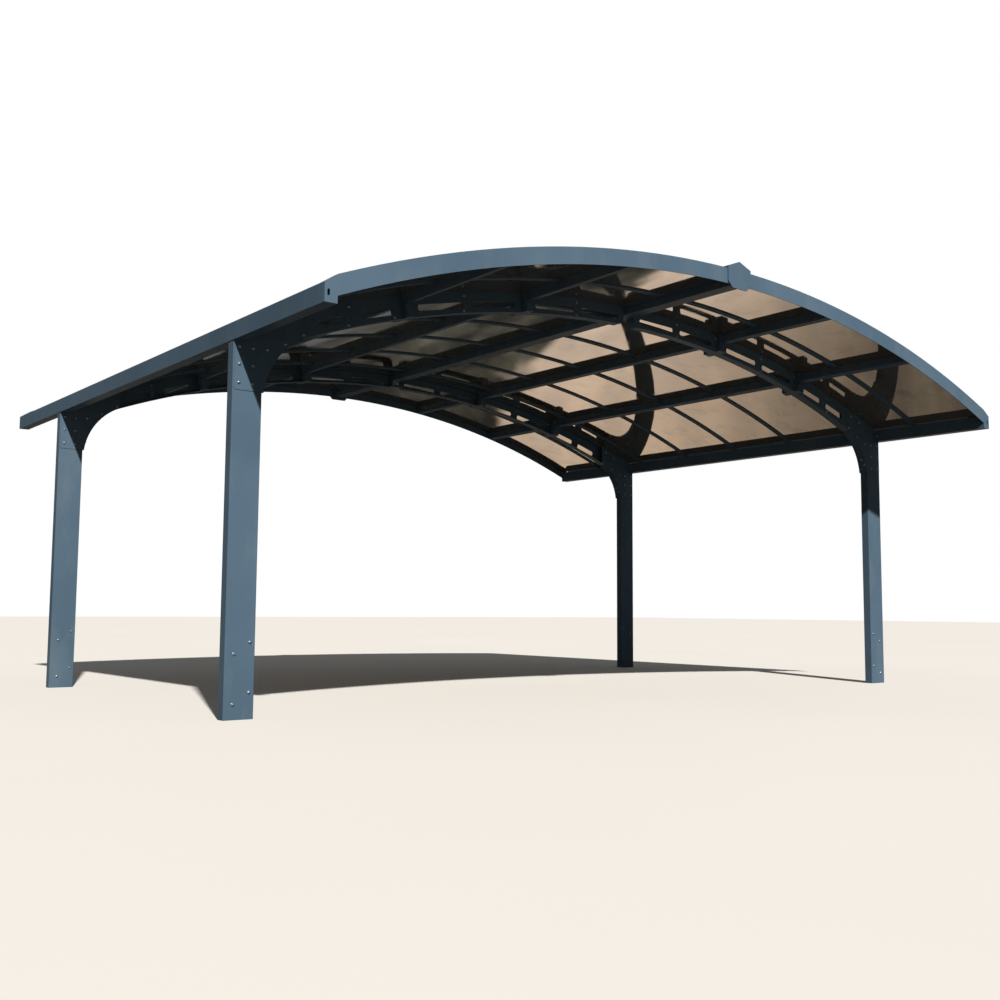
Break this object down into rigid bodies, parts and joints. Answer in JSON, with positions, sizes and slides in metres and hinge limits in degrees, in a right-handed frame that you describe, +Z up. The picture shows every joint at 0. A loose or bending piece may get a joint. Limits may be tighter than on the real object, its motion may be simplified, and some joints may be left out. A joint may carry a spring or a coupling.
{
  "type": "arched roof carport",
  "caption": "Free-standing carport with an arched panel roof on slotted rafters, knees and four rectangular posts.",
  "frame": {"origin": "centre of the footprint, on the floor under the posts", "axes": "+Z up, X across the width with the right side at +X, Y along the ridge with the pictured front at -Y"},
  "size_m": [5.83, 4.966, 2.75],
  "materials": {
    "frame": "satin powder coat",
    "trim": "satin powder coat",
    "feet": "galvanised",
    "panel": "glossy bronze tint"
  },
  "bodies": {
    "root": {"post_front_left": "frame", "post_front_right": "frame", "post_rear_left": "frame", "post_rear_right": "frame", "rafter_front_left": "frame", "rafter_front_right": "frame", "rafter_rear_left": "frame", "rafter_rear_right": "frame", "knee_front_left": "frame", "knee_front_right": "frame", "knee_rear_left": "frame", "knee_rear_right": "frame", "fascia_front_left": "trim", "fascia_front_right": "trim", "fascia_rear_left": "trim", "fascia_rear_right": "trim", "post_feet": "feet", "ridge_beam": "frame", "ridge_cap_front": "trim", "ridge_cap_rear": "trim", "purlin_left_upper": "frame", "purlin_left_lower": "frame", "gutter_left": "trim", "glazing_bars_left": "frame", "purlin_right_upper": "frame", "purlin_right_lower": "frame", "gutter_right": "trim", "glazing_bars_right": "frame", "panel_left_1": "panel", "panel_left_2": "panel", "panel_left_3": "panel", "panel_left_4": "panel", "panel_left_5": "panel", "panel_left_6": "panel", "panel_left_7": "panel", "panel_left_8": "panel", "panel_right_1": "panel", "panel_right_2": "panel", "panel_right_3": "panel", "panel_right_4": "panel", "panel_right_5": "panel", "panel_right_6": "panel", "panel_right_7": "panel", "panel_right_8": "panel"}
  },
  "joints": []
}
